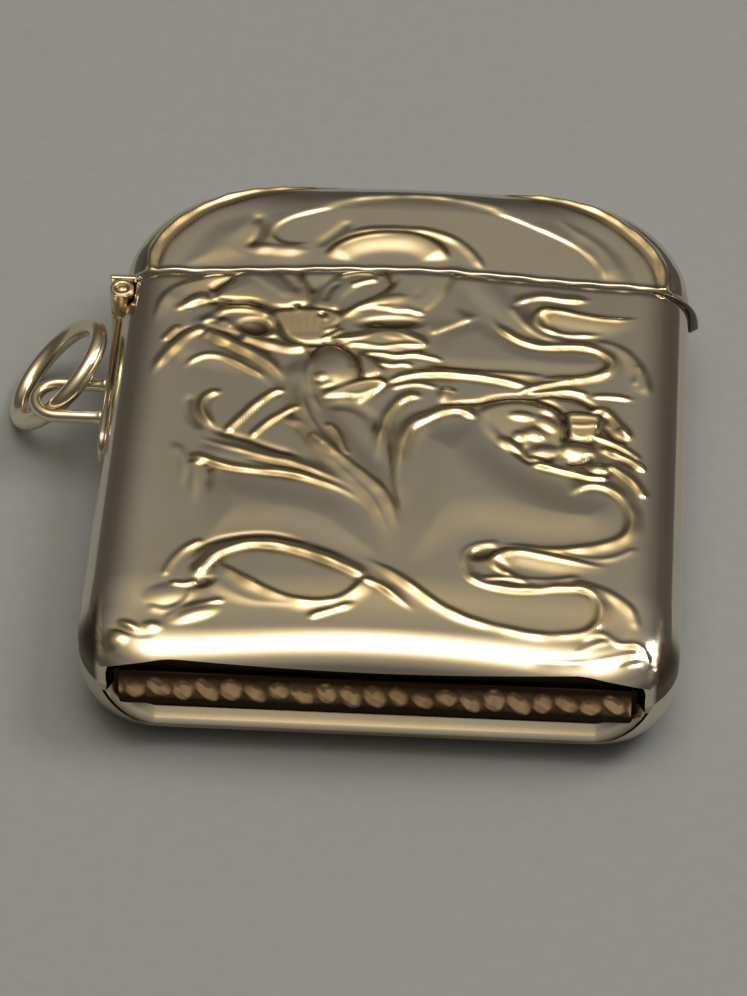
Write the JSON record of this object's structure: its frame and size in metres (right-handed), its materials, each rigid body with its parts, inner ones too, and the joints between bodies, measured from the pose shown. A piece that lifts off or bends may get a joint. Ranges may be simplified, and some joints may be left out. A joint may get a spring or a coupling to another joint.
{
  "type": "vesta case",
  "caption": "Flat pocket match safe of thin silver sheet: side-hinged snap lid, floral relief front, ribbed striker groove in the base, and a suspension ring in a wire loop.",
  "frame": {"origin": "middle of the plain back face of the closed case, on the surface it rests on", "axes": "+X across the case to the opening side, +Y along the case to the lid, +Z out of the front face"},
  "size_m": [0.046, 0.0456, 0.009],
  "materials": {
    "silver_sheet": "worn polished silver, warm patina in the hollows",
    "silver_inner": "plain silver, dull",
    "striker_silver": "tarnished silver, dark brown",
    "hinge_silver": "worn silver with brown tarnish",
    "spring_steel": "spring steel",
    "wire_silver": "polished silver wire"
  },
  "bodies": {
    "case_body": {"body_front": "silver_sheet", "body_back": "silver_sheet", "mouth_collar": "silver_inner", "striker_backing": "striker_silver", "striker_strip": "striker_silver", "body_knuckles": "hinge_silver", "hinge_pin": "hinge_silver", "leaf_spring": "spring_steel", "loop_plate": "wire_silver", "loop_eye": "wire_silver"},
    "lid": {"lid_front": "silver_sheet", "lid_back": "silver_sheet", "lid_hinge_leaf": "hinge_silver", "lid_knuckle": "hinge_silver", "thumb_lip": "silver_sheet"},
    "ring": {"suspension_ring": "wire_silver"}
  },
  "joints": [
    {"name": "lid_hinge", "type": "hinge", "parent": "case_body", "child": "lid", "pos_m": [-0.019, 0.0121, 0.0045], "axis": [0, 0, 1], "range_deg": [0, 90]},
    {"name": "ring_swing", "type": "hinge", "parent": "case_body", "child": "ring", "pos_m": [-0.02408, 0.00395, 0.0045], "axis": [0, -1, 0], "range_deg": [0, 90]}
  ]
}
